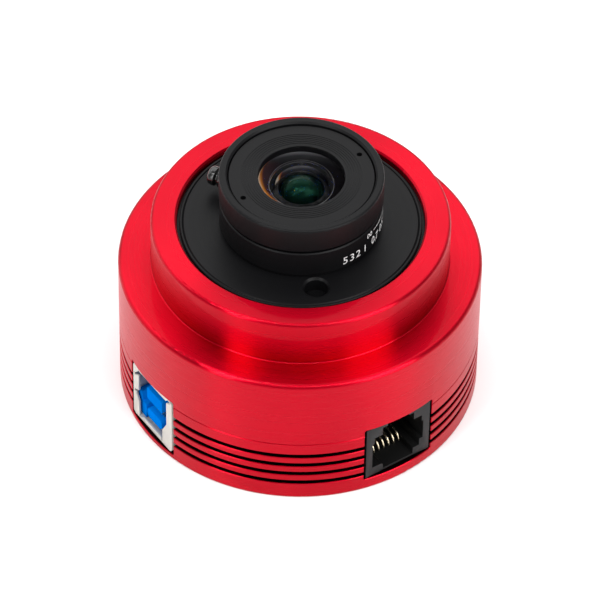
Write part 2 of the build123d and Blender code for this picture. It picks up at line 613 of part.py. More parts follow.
def front_retaining_ring():
    """Black face of the lens: clamps the front element, with fine anti-glare grooves and two spanner holes."""
    low, high = DISC_Z
    skirt_r, skirt_z = FRONT_GLASS_R - 0.05, FRONT_GLASS_Z[1] + 0.02
    disc = turned(
        (DISC_BORE_R, skirt_z), (skirt_r, skirt_z), (skirt_r, low), (DISC_R, low), (DISC_R, high - 0.1),
        (DISC_R - 0.1, high), (DISC_BORE_R + 0.08, high), (DISC_BORE_R, high - 0.08))
    for radius in DISC_LINES:
        disc -= tube(radius + 0.09, radius - 0.09, high - 0.06, high)
    for turn in (0, 180):
        x, y = at_angle(DISC_PIN_HOLE_CIRCLE_R, DISC_PIN_HOLE_ANGLE + turn)
        disc -= rod(DISC_PIN_HOLE_R, low, high, x, y)
    return disc


def ball_cap(radius, rim_r, rim_z, up):
    """Sphere whose surface crosses rim_r at rim_z, domed upwards or downwards."""
    drop = math.sqrt(radius ** 2 - rim_r ** 2)
    return Pos(0, 0, rim_z - drop if up else rim_z + drop) * Sphere(radius)


def front_element():
    """Strong meniscus: domed front, deeply hollow back, with a flat rim that the retaining ring clamps."""
    base_z, rim_z = FRONT_GLASS_Z
    body = tube(FRONT_GLASS_R, 0, base_z, rim_z)
    body += tube(DOME_R, 0, rim_z, rim_z + 3) & ball_cap(DOME_SPHERE_R, DOME_R, rim_z, True)
    return body - ball_cap(HOLLOW_SPHERE_R, HOLLOW_R, base_z, True)


def second_element():
    """Smaller meniscus whose steep dome stands in the front element's hollow."""
    low, high = SECOND_GLASS_Z
    body = tube(SECOND_GLASS_R, 0, low, high)
    body += tube(SECOND_DOME_R, 0, high, high + 3) & ball_cap(SECOND_DOME_SPHERE_R, SECOND_DOME_R, high, True)
    return body - ball_cap(SECOND_HOLLOW_SPHERE_R, SECOND_HOLLOW_R, low, True)


def rear_element():
    """Cemented rear group, taken as one lens."""
    low, high = REAR_GLASS_Z
    body = tube(REAR_GLASS_R, 0, low, high)
    return body & ball_cap(9.5, REAR_GLASS_R, high - 1.4, True) & ball_cap(11.0, REAR_GLASS_R, low + 0.8, False)


def lock_thumbscrew():
    """Small thumb screw: plain shank, waist and a rounded head."""
    profile = Plane.XZ * make_face(Polyline(
        (0, 9.62), (LOCK_SHANK_R, 9.62), (LOCK_SHANK_R, 14.1), (1.3, 14.1), (1.3, 14.5), (LOCK_HEAD_R, 14.8),
        (LOCK_HEAD_R, 15.5), (LOCK_HEAD_R - 0.22, 15.75), (LOCK_HEAD_R - 0.22, 15.95), (LOCK_HEAD_R, 16.2),
        (LOCK_HEAD_R, 17.4), (0, 17.4), close=True))
    screw = revolve(profile, Axis.Z)
    screw = fillet(circles(screw, LOCK_HEAD_R, 17.4), 0.75)
    return lock_frame() * screw


def lock_screw_pad():
    """Nylon tip that presses on the cell's thread without turning."""
    return lock_frame() * rod(LOCK_SHANK_R - 0.02, *LOCK_PAD)


# ---------------------------------------------------------------- assembly
BOARD_TOP = MAIN_BOARD_Z + BOARD_T
PIECES = {
    "front_housing": front_housing(),
    "rear_housing": rear_housing(),
    "case_screws": case_screws(),
    "main_board": main_board(),
    "sensor_board": sensor_board(),
    "board_standoffs": board_standoffs(),
    "board_screws": board_screws(),
    "processor_chip": chip(14, 14, 1.6, 0, 0, MAIN_BOARD_Z, above=False),
    "memory_chip": chip(13, 8, 1.1, 1, 9.5, BOARD_TOP),
    "usb_controller_chip": chip(9, 9, 1.0, -16, 2.5, BOARD_TOP),
    "crystal_oscillator": chip(3.2, 2.5, 0.8, 11.5, 5, BOARD_TOP),
    "power_inductors": inductors(),
    "capacitors": passives(),
    "board_connector_plug": board_connector(-8.5, BOARD_TOP, 18.6, 4.0),
    "board_connector_socket": board_connector(-8.5, 18.6, SENSOR_BOARD_Z, 4.4),
    "thermal_pad": thermal_pad(),
    "sensor_package": sensor_package(),
    "sensor_chip": sensor_chip(),
    "sensor_cover_glass": sensor_cover_glass(),
    "usb_shell": usb_shell(),
    "usb_insulator": usb_insulator(),
    "usb_contacts": usb_contacts(),
    "guide_port_housing": jack_housing(),
    "guide_port_contacts": jack_contacts(),
    "window_oring": window_oring(),
    "protective_window": protective_window(),
    "window_retaining_ring": window_retaining_ring(),
    "lens_mount_adapter": lens_mount_adapter(),
    "lens_barrel": lens_barrel(),
    "focus_ring_circlip": focus_ring_circlip(),
    "focus_ring": focus_ring(),
    "drive_pins": drive_pins(),
    "optics_cell": optics_cell(),
    "front_retaining_ring": front_retaining_ring(),
    "front_element": front_element(),
    "front_spacer": tube(SECOND_GLASS_R, 4.2, SECOND_GLASS_Z[1], FRONT_GLASS_Z[0] - 0.05),
    "second_element": second_element(),
    "middle_spacer": tube(SECOND_GLASS_R, 4.0, STOP_Z[1] + 0.02, SECOND_GLASS_Z[0]),
    "aperture_stop": tube(SECOND_GLASS_R, STOP_BORE_R, *STOP_Z),
    "rear_element": rear_element(),
    "rear_retaining_ring": tube(REAR_GLASS_R, 4.2, CELL_BASE_Z + 0.4, REAR_GLASS_Z[0] - 0.2),
    "lock_thumbscrew": lock_thumbscrew(),
    "lock_screw_pad": lock_screw_pad(),
}

os.makedirs("parts", exist_ok=True)
for name, piece in PIECES.items():
    solids = piece if isinstance(piece, list) else piece.solids()
    shape = solids[0] if len(solids) == 1 else Compound(children=list(solids))
    shape.label = name
    export_step(shape, f"parts/{name}.step")
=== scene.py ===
"""Looks of the astronomy camera: materials, fine mesh pieces, studio and camera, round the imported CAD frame.

Blender units are metres. +Z is the optical axis, the USB port faces -X and the guide port faces -Y.
"""

import json
import math

import bmesh
import bpy
from mathutils import Matrix, Vector


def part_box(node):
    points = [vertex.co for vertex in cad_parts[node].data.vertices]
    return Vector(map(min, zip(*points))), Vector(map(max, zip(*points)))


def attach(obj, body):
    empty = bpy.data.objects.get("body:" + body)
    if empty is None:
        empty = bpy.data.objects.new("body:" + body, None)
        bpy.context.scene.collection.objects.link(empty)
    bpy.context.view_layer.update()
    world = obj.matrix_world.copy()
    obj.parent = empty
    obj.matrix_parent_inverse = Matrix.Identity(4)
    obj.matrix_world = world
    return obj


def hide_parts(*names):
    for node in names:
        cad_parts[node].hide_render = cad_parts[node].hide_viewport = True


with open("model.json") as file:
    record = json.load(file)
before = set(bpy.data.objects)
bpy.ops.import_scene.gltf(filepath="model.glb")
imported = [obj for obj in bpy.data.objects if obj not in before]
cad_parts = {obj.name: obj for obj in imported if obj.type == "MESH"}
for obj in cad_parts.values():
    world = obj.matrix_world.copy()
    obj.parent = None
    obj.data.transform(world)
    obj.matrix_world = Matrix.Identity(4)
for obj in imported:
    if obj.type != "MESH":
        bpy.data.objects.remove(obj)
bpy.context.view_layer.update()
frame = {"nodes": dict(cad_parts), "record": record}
NODES = frame["nodes"]
RECORD = frame["record"]
MOUNTS = {mount["name"]: mount for mount in RECORD["mounts"]}
MM = 0.001
GROOVE_FLOOR_R, GROOVE_MOUTH_R, GROOVES_TOP = 29.2 * MM, 30.85 * MM, 14.2 * MM
NOISE_LOW, NOISE_HIGH = 0.3, 0.7      # where most of a noise texture's values lie
SMALL_EDGE = 0.05                     # mm, rounding of the turned pieces' edges


# ---------------------------------------------------------------- material helpers
class Shade:
    """A material and its node tree, with short ways to add and link nodes."""

    def __init__(self, name):
        self.material = bpy.data.materials.new(name)
        self.material.use_nodes = True
        self.nodes = self.material.node_tree.nodes
        self.links = self.material.node_tree.links
        self.nodes.clear()
        self.output = self.nodes.new("ShaderNodeOutputMaterial")
        self.shader = self.nodes.new("ShaderNodeBsdfPrincipled")
        self.links.new(self.shader.outputs[0], self.output.inputs["Surface"])
        self.place = self.nodes.new("ShaderNodeTexCoord").outputs["Object"]

    def set(self, **values):
        """Sets the shader's own sockets, with underscores for the spaces in their names."""
        for key, value in values.items():
            self.shader.inputs[key.replace("_", " ")].default_value = value
        return self

    def math(self, operation, a, b=None):
        node = self.nodes.new("ShaderNodeMath")
        node.operation = operation
        for socket, value in zip(node.inputs, (a, b)):
            if value is None:
                continue
            if isinstance(value, (int, float)):
                socket.default_value = value
            else:
                self.links.new(value, socket)
        return node.outputs[0]

    def cylindrical(self):
        """Distance from the optical axis, and x, y, z."""
        split = self.nodes.new("ShaderNodeSeparateXYZ")
        self.links.new(self.place, split.inputs[0])
        x, y, z = split.outputs
        squares = self.math("ADD", self.math("MULTIPLY", x, x), self.math("MULTIPLY", y, y))
        return self.math("SQRT", squares), x, y, z

    def noise(self, scale, detail=2.0, stretch=None):
        """Noise over the object's own coordinates, or along a stretched copy of them."""
        source = self.place
        if stretch:
            mapping = self.nodes.new("ShaderNodeMapping")
            mapping.inputs["Scale"].default_value = stretch
            self.links.new(source, mapping.inputs["Vector"])
            source = mapping.outputs[0]
        node = self.nodes.new("ShaderNodeTexNoise")
        node.inputs["Scale"].default_value = scale
        node.inputs["Detail"].default_value = detail
        self.links.new(source, node.inputs["Vector"])
        return node.outputs["Fac"]

    def turned(self, scale, detail=3.0):
        """Noise in rings about the optical axis, on walls and flat faces alike, as a lathe tool leaves it."""
        radius, _, _, z = self.cylindrical()
        node = self.nodes.new("ShaderNodeTexNoise")
        node.noise_dimensions = "1D"
        node.inputs["Scale"].default_value = scale
        node.inputs["Detail"].default_value = detail
        self.links.new(self.math("ADD", radius, z), node.inputs["W"])
        return node.outputs["Fac"]

    def spread(self, factor, low, high):
        """Maps a noise's usual range to low..high."""
        node = self.nodes.new("ShaderNodeMapRange")
        node.inputs["From Min"].default_value = NOISE_LOW
        node.inputs["From Max"].default_value = NOISE_HIGH
        node.inputs["To Min"].default_value = low
        node.inputs["To Max"].default_value = high
        self.links.new(factor, node.inputs["Value"])
        return node.outputs["Result"]

    def colours(self, factor, *stops):
        """Colour ramp from (position, colour) stops into the base colour."""
        ramp = self.nodes.new("ShaderNodeValToRGB")
        elements = ramp.color_ramp.elements
        while len(elements) < len(stops):
            elements.new(0.5)
        for element, (position, colour) in zip(elements, stops):
            element.position = position
            element.color = (*colour, 1.0)
        self.links.new(factor, ramp.inputs["Fac"])
        self.links.new(ramp.outputs["Color"], self.shader.inputs["Base Color"])
        return self

    def roughness(self, factor, low, high):
        self.links.new(self.spread(factor, low, high), self.shader.inputs["Roughness"])
        return self

    def brushed(self, amount):
        """Stretches highlights across the lathe marks, which run round the optical axis."""
        node = self.nodes.new("ShaderNodeTangent")
        node.direction_type = "RADIAL"
        node.axis = "Z"
        self.links.new(node.outputs[0], self.shader.inputs["Tangent"])
        return self.set(Anisotropic=amount, Anisotropic_Rotation=0.25)

    def paint_groove_shade(self):
        """Painted shade: takes the base colour down to black between the wall's surface and the floor of its
        grooves, below their top, so the port cut-outs' sides at those radii darken too.
        """
        radius, _, _, z = self.cylindrical()
        under = self.math("LESS_THAN", radius, GROOVE_MOUTH_R)
        over = self.math("GREATER_THAN", radius, GROOVE_FLOOR_R)
        low = self.math("LESS_THAN", z, GROOVES_TOP)
        mix = self.nodes.new("ShaderNodeMix")
        mix.data_type = "RGBA"
        self.links.new(self.math("MULTIPLY", self.math("MULTIPLY", under, over), low), mix.inputs["Factor"])
        self.links.new(self.shader.inputs["Base Color"].links[0].from_socket, mix.inputs["A"])
        # near-black colour of the painted shade
        mix.inputs["B"].default_value = (0.006, 0.0003, 0.0006, 1.0)
        self.links.new(mix.outputs["Result"], self.shader.inputs["Base Color"])

    def bump(self, *layers):
        """Stacks (height, depth in metres) layers into the normal."""
        last = None
        for height, depth in layers:
            node = self.nodes.new("ShaderNodeBump")
            node.inputs["Strength"].default_value = 1.0
            node.inputs["Distance"].default_value = depth
            self.links.new(height, node.inputs["Height"])
            if last:
                self.links.new(last, node.inputs["Normal"])
            last = node.outputs["Normal"]
        self.links.new(last, self.shader.inputs["Normal"])
        return self


def blend_of(a, b, share):
    """Colour between a and b."""
    return tuple(one + (two - one) * share for one, two in zip(a, b))


# ---------------------------------------------------------------- materials
def anodised(name, colour, rough, coat, metallic=1.0, specular=0.5, brushed=0.0, groove_shade=False):
    """Satin anodised aluminium: dyed colour, lathe rings, fine blasted grain and a thin clear oxide."""
    shade = Shade(name).set(Metallic=metallic, Coat_Weight=coat, Coat_Roughness=0.06,
                            Specular_IOR_Level=specular)
    cloud = shade.noise(70.0, 3.0)
    darker = tuple(c * 0.9 for c in colour)
    shade.colours(cloud, (0.32, darker), (0.68, colour))
    shade.roughness(shade.turned(2600.0), rough - 0.035, rough + 0.035)
    # painted shade in the grooves and along the port cut-outs' edges
    if groove_shade:
        shade.paint_groove_shade()
    if brushed:
        shade.brushed(brushed)
    rings = shade.turned(9000.0, 2.0)
    grain = shade.noise(16000.0, 2.0)
    return shade.bump((rings, 0.0003 * MM), (grain, 0.0009 * MM)).material


def plastic(name, colour, rough, grain_depth, specular=0.5):
    """Injection-moulded plastic with a fine eroded texture."""
    shade = Shade(name).set(Specular_IOR_Level=specular)
    darker = tuple(c * 0.88 for c in colour)
    shade.colours(shade.noise(260.0, 2.0), (NOISE_LOW, darker), (NOISE_HIGH, colour))
    grain = shade.noise(6000.0, 3.0)
    shade.roughness(grain, rough - 0.05, rough + 0.05)
    return shade.bump((grain, grain_depth * MM)).material


def plated(name, colour, rough, stretch=(1.0, 1.0, 1.0), metallic=1.0):
    """Plated or plain metal with fine rolling marks."""
    shade = Shade(name).set(Metallic=metallic)
    darker = tuple(c * 0.9 for c in colour)
    shade.colours(shade.noise(400.0, 3.0), (NOISE_LOW, darker), (NOISE_HIGH, colour))
    marks = shade.noise(1500.0, 3.0, stretch=stretch)
    shade.roughness(marks, rough - 0.05, rough + 0.07)
    return shade.bump((marks, 0.0012 * MM)).material


def glass(name, tint, film_nm, film_ior=1.9, glint=(1.0, 1.0, 1.0)):
    """Clear optical glass with an interference coating and faint residue."""
    shade = Shade(name).set(Transmission_Weight=1.0, IOR=1.6, Roughness=0.0, Thin_Film_Thickness=film_nm,
                            Thin_Film_IOR=film_ior, Specular_Tint=(*glint, 1.0))
    cleaner = blend_of(tint, (1, 1, 1), 0.4)
    return shade.colours(shade.noise(350.0, 2.0), (NOISE_LOW, tint), (NOISE_HIGH, cleaner)).material


BLACK_PAINT = (0.002, 0.002, 0.003)
# painted light on the lens's edge paint: azimuth in degrees, evenness, and (position, colour) stops
LENS_EDGE_PAINTED_LIGHT = (
    (203.0, 0.72, ((0.6, (0.003, 0.002, 0.003)), (0.64, (0.08, 0.026, 0.02)), (0.68, (0.6, 0.2, 0.02)),
                   (0.74, (1.0, 0.88, 0.7)))),
    (145.0, 0.5, ((0.5, BLACK_PAINT), (0.85, (0.05, 0.025, 0.03)))),
    (60.0, 0.45, ((0.6, BLACK_PAINT), (0.8, (0.03, 0.03, 0.033)), (1.0, (0.28, 0.28, 0.3)))),
)


def lens_edge():
    """Black paint under a lens's rim, with painted light and reflections on it: amber and cream towards the
    USB port, grey on the far side.

    Each layer is a ramp over the distance from the axis, leaning towards its azimuth by what evenness leaves.
    """
    shade = Shade("edge_lacquer").set(Roughness=0.5, Specular_IOR_Level=0.04)
    radius, x, y, _ = shade.cylindrical()
    rim = 8 * MM
    cloud = shade.math("MULTIPLY", shade.noise(200.0), 0.03)
    painted_light = None
    for azimuth, evenness, stops in LENS_EDGE_PAINTED_LIGHT:
        towards = math.cos(math.radians(azimuth)), math.sin(math.radians(azimuth))
        along = shade.math("ADD", shade.math("MULTIPLY", x, towards[0]),
                           shade.math("MULTIPLY", y, towards[1]))
        share = shade.math("ADD", shade.math("MULTIPLY", radius, evenness / rim),
                           shade.math("MULTIPLY", along, (1 - evenness) / rim))
        shade.colours(shade.math("ADD", share, cloud), *stops)
        colour = shade.shader.inputs["Base Color"].links[0].from_socket
        # each layer of painted light is laid over the ones before, the lighter colour showing
        if painted_light:
            mix = shade.nodes.new("ShaderNodeMix")
            mix.data_type, mix.blend_type = "RGBA", "LIGHTEN"
            mix.inputs["Factor"].default_value = 1.0
            shade.links.new(painted_light, mix.inputs["A"])
            shade.links.new(colour, mix.inputs["B"])
            colour = mix.outputs["Result"]
        painted_light = colour
    shade.links.new(painted_light, shade.shader.inputs["Base Color"])
    return shade.material


def green_coating():
    """Dark glass whose coating reflects green."""
    shade = Shade("green_coating").set(IOR=1.7, Specular_Tint=(0.2, 1.0, 0.6, 1.0), Specular_IOR_Level=0.08)
    smear = shade.noise(350.0, 2.0)
    shade.colours(smear, (NOISE_LOW, (0.001, 0.0075, 0.0045)), (NOISE_HIGH, (0.0015, 0.0095, 0.006)))
    return shade.roughness(smear, 0.16, 0.2).material


def circuit_board():
    """Green solder mask over a grid of traces, with the copper just proud of the laminate."""
    shade = Shade("circuit_board").set(Specular_IOR_Level=0.5, Coat_Weight=0.3, Coat_Roughness=0.1)
    bricks = shade.nodes.new("ShaderNodeTexBrick")
    bricks.inputs["Scale"].default_value = 420.0
    bricks.inputs["Mortar Size"].default_value = 0.06
    bricks.inputs["Color1"].default_value = (0.004, 0.05, 0.022, 1)
    bricks.inputs["Color2"].default_value = (0.006, 0.075, 0.03, 1)
    bricks.inputs["Mortar"].default_value = (0.012, 0.13, 0.055, 1)
    shade.links.new(shade.place, bricks.inputs["Vector"])
    shade.links.new(bricks.outputs["Color"], shade.shader.inputs["Base Color"])
    shade.roughness(shade.noise(1500.0), 0.28, 0.4)
    return shade.bump((bricks.outputs["Fac"], 0.02 * MM)).material


RED = (0.52, 0.0014, 0.014)
BLACK = (0.004, 0.004, 0.0045)
MATERIALS = {
    "red_anodised": anodised("red_anodised", RED, 0.3, 0.1, brushed=0.95, groove_shade=True),
    "black_anodised": anodised("black_anodised", BLACK, 0.4, 0.0, metallic=0.0, specular=0.13),
    "black_steel": anodised("black_steel", (0.004, 0.004, 0.004), 0.2, 0.4, metallic=0.0),
    "circuit_board": circuit_board(),
    "plain_brass": plated("plain_brass", (0.72, 0.5, 0.2), 0.3),
    "bright_steel": plated("bright_steel", (0.6, 0.6, 0.61), 0.28),
    "chip_epoxy": plastic("chip_epoxy", (0.018, 0.018, 0.02), 0.55, 0.004),
    "capacitor_ceramic": plastic("capacitor_ceramic", (0.42, 0.3, 0.2), 0.5, 0.002),
    "black_plastic": plastic("black_plastic", (0.007, 0.007, 0.0075), 0.5, 0.004, specular=0.3),
    "thermal_silicone": plastic("thermal_silicone", (0.2, 0.34, 0.5), 0.7, 0.006),
    "sensor_silicon": glass("sensor_silicon", (0.02, 0.03, 0.04), 330.0),
    "clear_glass": glass("clear_glass", (0.96, 1.0, 0.98), 110.0),
    "coated_glass": glass("coated_glass", (0.95, 1.0, 0.97), 470.0),
    "nickel_steel": plated("nickel_steel", (0.6, 0.58, 0.53), 0.45, stretch=(1.0, 1.0, 0.08),
                           metallic=0.35),
    "blue_plastic": plastic("blue_plastic", (0.0, 0.17, 0.66), 0.6, 0.002, specular=0.0),
    "gold_contact": plated("gold_contact", (1.0, 0.86, 0.62), 0.25),
    "black_rubber": plastic("black_rubber", (0.012, 0.012, 0.012), 0.7, 0.006),
    "nylon": plastic("nylon", (0.75, 0.74, 0.7), 0.5, 0.003),
    "front_glass": glass("front_glass", (1.0, 1.0, 1.0), 150.0, 1.26, glint=(0.02, 0.03, 0.05)),
    # black edge paint carrying painted light and reflections
    "edge_lacquer": lens_edge(),
    # darker black plastic: painted shade inside the guide port
    "port_inside": plastic("port_inside", (0.003, 0.003, 0.003), 0.5, 0.002, specular=0.1),
    "edge_black": plastic("edge_black", (0.004, 0.004, 0.004), 0.5, 0.002),
    "ground_glass": plastic("ground_glass", (0.14, 0.14, 0.14), 0.5, 0.002),
    "green_coating": green_coating(),
    "scale_paint": plastic("scale_paint", (0.8, 0.8, 0.8), 0.5, 0.001),
}


def paint_nodes():
    """Gives each CAD node the material of its slot in the record."""
    for row in RECORD["subparts"]:
        mesh = NODES[row["node"]].data
        mesh.materials.clear()
        mesh.materials.append(MATERIALS[row["material_slot"]])


# ---------------------------------------------------------------- mesh helpers
def keep(name, mesh, body, slot=None, replaces=(), material=None, sharp_angle=32.0):
    """Makes a piece of a mesh: smooth but for its sharp edges, riding on a body, with its slot's material."""
    piece = bpy.data.objects.new(name, mesh)
    bpy.context.scene.collection.objects.link(piece)
    mesh.shade_smooth()
    mesh.set_sharp_from_angle(angle=math.radians(sharp_angle))
    mesh.materials.clear()
    mesh.materials.append(material or MATERIALS[slot])
    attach(piece, body)
    if replaces:
        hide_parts(*replaces)
    return piece


def rounded(corners, steps=5):
    """Closed outline from (r, z) or (r, z, radius) corners, with the rounded ones as arcs."""
    points = []
    count = len(corners)
    for i, corner in enumerate(corners):
        here = Vector(corner[:2])
        if len(corner) == 2:
            points.append(here)
            continue
        before = (Vector(corners[i - 1][:2]) - here).normalized()
        after = (Vector(corners[(i + 1) % count][:2]) - here).normalized()
        half = before.angle(after) / 2
        centre = here + (before + after).normalized() * (corner[2] / math.sin(half))
        reach = corner[2] / math.tan(half)
        start, end = here + before * reach - centre, here + after * reach - centre
        for step in range(steps + 1):
            points.append(centre + start.lerp(end, step / steps).normalized() * corner[2])
    return points


def arc(centre_z, radius, r0, r1, steps=24):
    """Points of a sphere's outline from radius r0 to r1, on the sphere's upper side."""
    points = []
    for step in range(steps + 1):
        r = r0 + (r1 - r0) * step / steps
        points.append(Vector((r, centre_z + math.sqrt(max(radius ** 2 - r ** 2, 0.0)))))
    return points


def lathe(outline, segments=256, turn=Matrix.Identity(4)):
    """Mesh turned about Z from a closed (r, z) outline in millimetres, then placed by turn."""
    bm = bmesh.new()
    rings = []
    for i in range(segments):
        angle = 2 * math.pi * i / segments
        c, s = math.cos(angle) * MM, math.sin(angle) * MM
        rings.append([bm.verts.new((p[0] * c, p[0] * s, p[1] * MM)) for p in outline])
    for i in range(segments):
        near, far = rings[i], rings[(i + 1) % segments]
        for j in range(len(outline)):
            k = (j + 1) % len(outline)
            bm.faces.new((near[j], far[j], far[k], near[k]))
    bmesh.ops.remove_doubles(bm, verts=bm.verts, dist=1e-7)
    bmesh.ops.dissolve_degenerate(bm, edges=bm.edges, dist=1e-8)
    return finished(bm, turn)


def finished(bm, turn=Matrix.Identity(4)):
    """Turns the bmesh's faces outwards and gives its mesh."""
    bmesh.ops.recalc_face_normals(bm, faces=bm.faces)
    mesh = bpy.data.meshes.new("piece")
    bm.to_mesh(mesh)
    bm.free()
    mesh.transform(turn)
    return mesh


def softened(node, width):
    """Copy of a CAD node's mesh with its edges rounded over."""
    bm = bmesh.new()
    bm.from_mesh(NODES[node].data)
    bmesh.ops.remove_doubles(bm, verts=bm.verts, dist=1e-6)
    bmesh.ops.dissolve_limit(bm, angle_limit=math.radians(2), verts=bm.verts, edges=bm.edges)
    sharp = [edge for edge in bm.edges if edge.is_manifold and edge.calc_face_angle(0) > math.radians(25)]
    bmesh.ops.bevel(bm, geom=sharp, offset=width * MM, segments=2, profile=0.5, affect="EDGES",
                    clamp_overlap=True)
    return finished(bm)


def helix_thread(root, crest, pitch, z0, z1, steps=72):
    """V-shaped thread wound between two heights; it fades out at both ends. Millimetres."""
    root_half, crest_half = 0.46 * pitch, 0.06 * pitch
    total = int((z1 - z0) / pitch * steps)
    bm = bmesh.new()
    rows = []
    for i in range(total + 1):
        angle = 2 * math.pi * i / steps
        z = z0 + pitch * i / steps
        fade = min(1.0, 4 * i / steps, 4 * (total - i) / steps)
        tip = root + (crest - root) * fade
        c, s = math.cos(angle) * MM, math.sin(angle) * MM
        section = ((root, z - root_half), (tip, z - crest_half), (tip, z + crest_half), (root, z + root_half))
        rows.append([bm.verts.new((r * c, r * s, h * MM)) for r, h in section])
    for near, far in zip(rows, rows[1:]):
        for j in range(4):
            k = (j + 1) % 4
            bm.faces.new((near[j], far[j], far[k], near[k]))
    for end in (rows[0], rows[-1]):
        bm.faces.new(end)
    return finished(bm)


def mesh_of(name, curve):
    """Mesh of a curve or text, through an object that is removed again."""
    holder = bpy.data.objects.new(name, curve)
    bpy.context.scene.collection.objects.link(holder)
    bpy.context.view_layer.update()
    mesh = bpy.data.meshes.new_from_object(holder.evaluated_get(bpy.context.evaluated_depsgraph_get()))
    bpy.data.objects.remove(holder)
    return mesh


def wires(paths, radius):
    """Round wires along smooth paths, as one mesh. Points are in metres, radius in millimetres."""
    curve = bpy.data.curves.new("wires", "CURVE")
    curve.dimensions = "3D"
    curve.bevel_depth = radius * MM
    curve.bevel_resolution = 4
    curve.use_fill_caps = True
    for path in paths:
        spline = curve.splines.new("NURBS")
        spline.points.add(len(path) - 1)
        for point, place in zip(spline.points, path):
            point.co = (*place, 1.0)
        spline.order_u = 3
        spline.use_endpoint_u = True
        spline.resolution_u = 8
    return mesh_of("wires", curve)


# ---------------------------------------------------------------- lens
def radial_turn(node):
    """Matrix that lays a piece turned about Z along the lock screw, pointing outwards, from the lens axis."""
    low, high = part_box(node)
    middle = (low + high) / 2
    outward = Vector((middle.x, middle.y, 0)).normalized()
    turn = outward.to_track_quat("Z", "X").to_matrix().to_4x4()
    return Matrix.Translation((0, 0, middle.z)) @ turn


def make_front_element():
    """Domed meniscus with a deep hollow, lacquered black on its edge with painted light on the underside's
    lacquer, and ground at the hollow's rim.
    """
    low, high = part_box("front_element")
    rim_r, base_z = high.x / MM, low.z / MM
    dome_r, rim_z, hollow_r, ground, paint = 7.24, 44.58, 5.0, 0.05, 0.02
    dome_radius, hollow_radius = 16.3, 6.4
    dome_centre = rim_z - math.sqrt(dome_radius ** 2 - dome_r ** 2)
    hollow_centre = base_z - math.sqrt(hollow_radius ** 2 - hollow_r ** 2)
    outline = arc(dome_centre, dome_radius, 0.0, dome_r, 40)
    outline += rounded([(dome_r, rim_z), (rim_r, rim_z, SMALL_EDGE), (rim_r, base_z + paint, SMALL_EDGE),
                        (hollow_r + ground, base_z + paint)])[1:]
    outline += arc(hollow_centre, hollow_radius, hollow_r - ground, 0.0, 40)
    mesh = lathe(outline, 360)
    keep("front_element_glass", mesh, "optics", "coated_glass", ["front_element"],
         material=MATERIALS["front_glass"], sharp_angle=20.0)
    index = {}
    for material in ("edge_lacquer", "ground_glass", "edge_black"):
        index[material] = len(mesh.materials)
        mesh.materials.append(MATERIALS[material])
    for face in mesh.polygons:
        radius, height = math.hypot(*face.center[:2]) / MM, face.center[2] / MM
        if abs(radius - hollow_r) < ground and height < base_z + 3 * ground:
            face.material_index = index["ground_glass"]
        # the underside's paint, with painted light on it
        elif height < base_z + 2 * paint:
            face.material_index = index["edge_lacquer"]
        elif radius > rim_r - 2 * SMALL_EDGE:
            face.material_index = index["edge_black"]


def make_second_element():
    """Smaller meniscus whose steep dome stands in the front element's hollow."""
    low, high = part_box("second_element")
    outer, base_z, rim_z = high.x / MM, low.z / MM, 42.0
    dome_r, dome_radius, hollow_r, hollow_radius = 4.15, 4.6, 3.6, 4.5
    dome_centre = rim_z - math.sqrt(dome_radius ** 2 - dome_r ** 2)
    hollow_centre = base_z - math.sqrt(hollow_radius ** 2 - hollow_r ** 2)
    outline = arc(dome_centre, dome_radius, 0.0, dome_r, 32)
    outline += rounded([(dome_r, rim_z), (outer, rim_z, SMALL_EDGE), (outer, base_z, SMALL_EDGE),
                        (hollow_r, base_z)])[1:-1]
    outline += arc(hollow_centre, hollow_radius, hollow_r, 0.0)
    keep("second_element_glass", lathe(outline, 256), "optics", "coated_glass", ["second_element"],
         material=MATERIALS["green_coating"], sharp_angle=20.0)


def make_lock_screw():
    """Thumb screw with a rounded head, a narrow neck and a collar, turned about the screw's own axis."""
    shank, waist, collar, neck, head = 0.95, 1.28, 1.6, 1.2, 1.68    # radii
    tip, boss, collar_near, collar_far = 9.62, 14.1, 14.72, 15.3     # distances from the lens's axis
    head_near, end = 16.0, 17.4
    outline = rounded([(0, tip), (shank, tip, 0.12), (shank, boss, SMALL_EDGE), (waist, boss, SMALL_EDGE),
                       (waist, boss + 0.35, 0.1), (collar, collar_near, 0.15), (collar, collar_far, 0.22),
                       (neck, collar_far + 0.25, 0.12), (neck, head_near - 0.25, 0.12),
                       (head, head_near, 0.2), (head, end, 0.75), (0, end)], steps=7)
    mesh = lathe(outline, 96, radial_turn("lock_thumbscrew"))
    keep("lock_thumbscrew_turned", mesh, "lock_screw", "black_steel", ["lock_thumbscrew"])


# angles are degrees from +X, the rest is millimetres
SCALE_MARKS = (("5", -93.9), ("3", -88.2), ("2", -82.5), ("1", -75.5), ("0.7", -65.5), ("0.5", -52.0),
               ("0.3", -38.5), ("0.2", -25.0))
SCALE_TEXT_Z, SCALE_TEXT_HEIGHT = 36.85, 1.55
INFINITY_ANGLE, INFINITY_Z = -68.0, 39.75
INFINITY_HALF_WIDTH, INFINITY_HALF_HEIGHT = 0.62, 0.42
SCALE_LINE_START, SCALE_LINE_END, SCALE_LINE_Z = -63.0, -5.0, 39.85
STROKE_HALF_WIDTH = 0.075
LINE_HALF_WIDTH = 0.07
PAINT_DEPTH = 0.008
CAPITAL_SHARE = 0.7                   # height of a numeral in the font's own size


def wrapped(mesh, angle, z, radius):
    """Bends a flat mesh drawn in X and Y round the barrel, its left edge at an angle from +X."""
    for vertex in mesh.vertices:
        x, y, proud = vertex.co
        turn = math.radians(angle) + x / radius
        out = radius + proud
        vertex.co = (out * math.cos(turn), out * math.sin(turn), z + y)
    return mesh


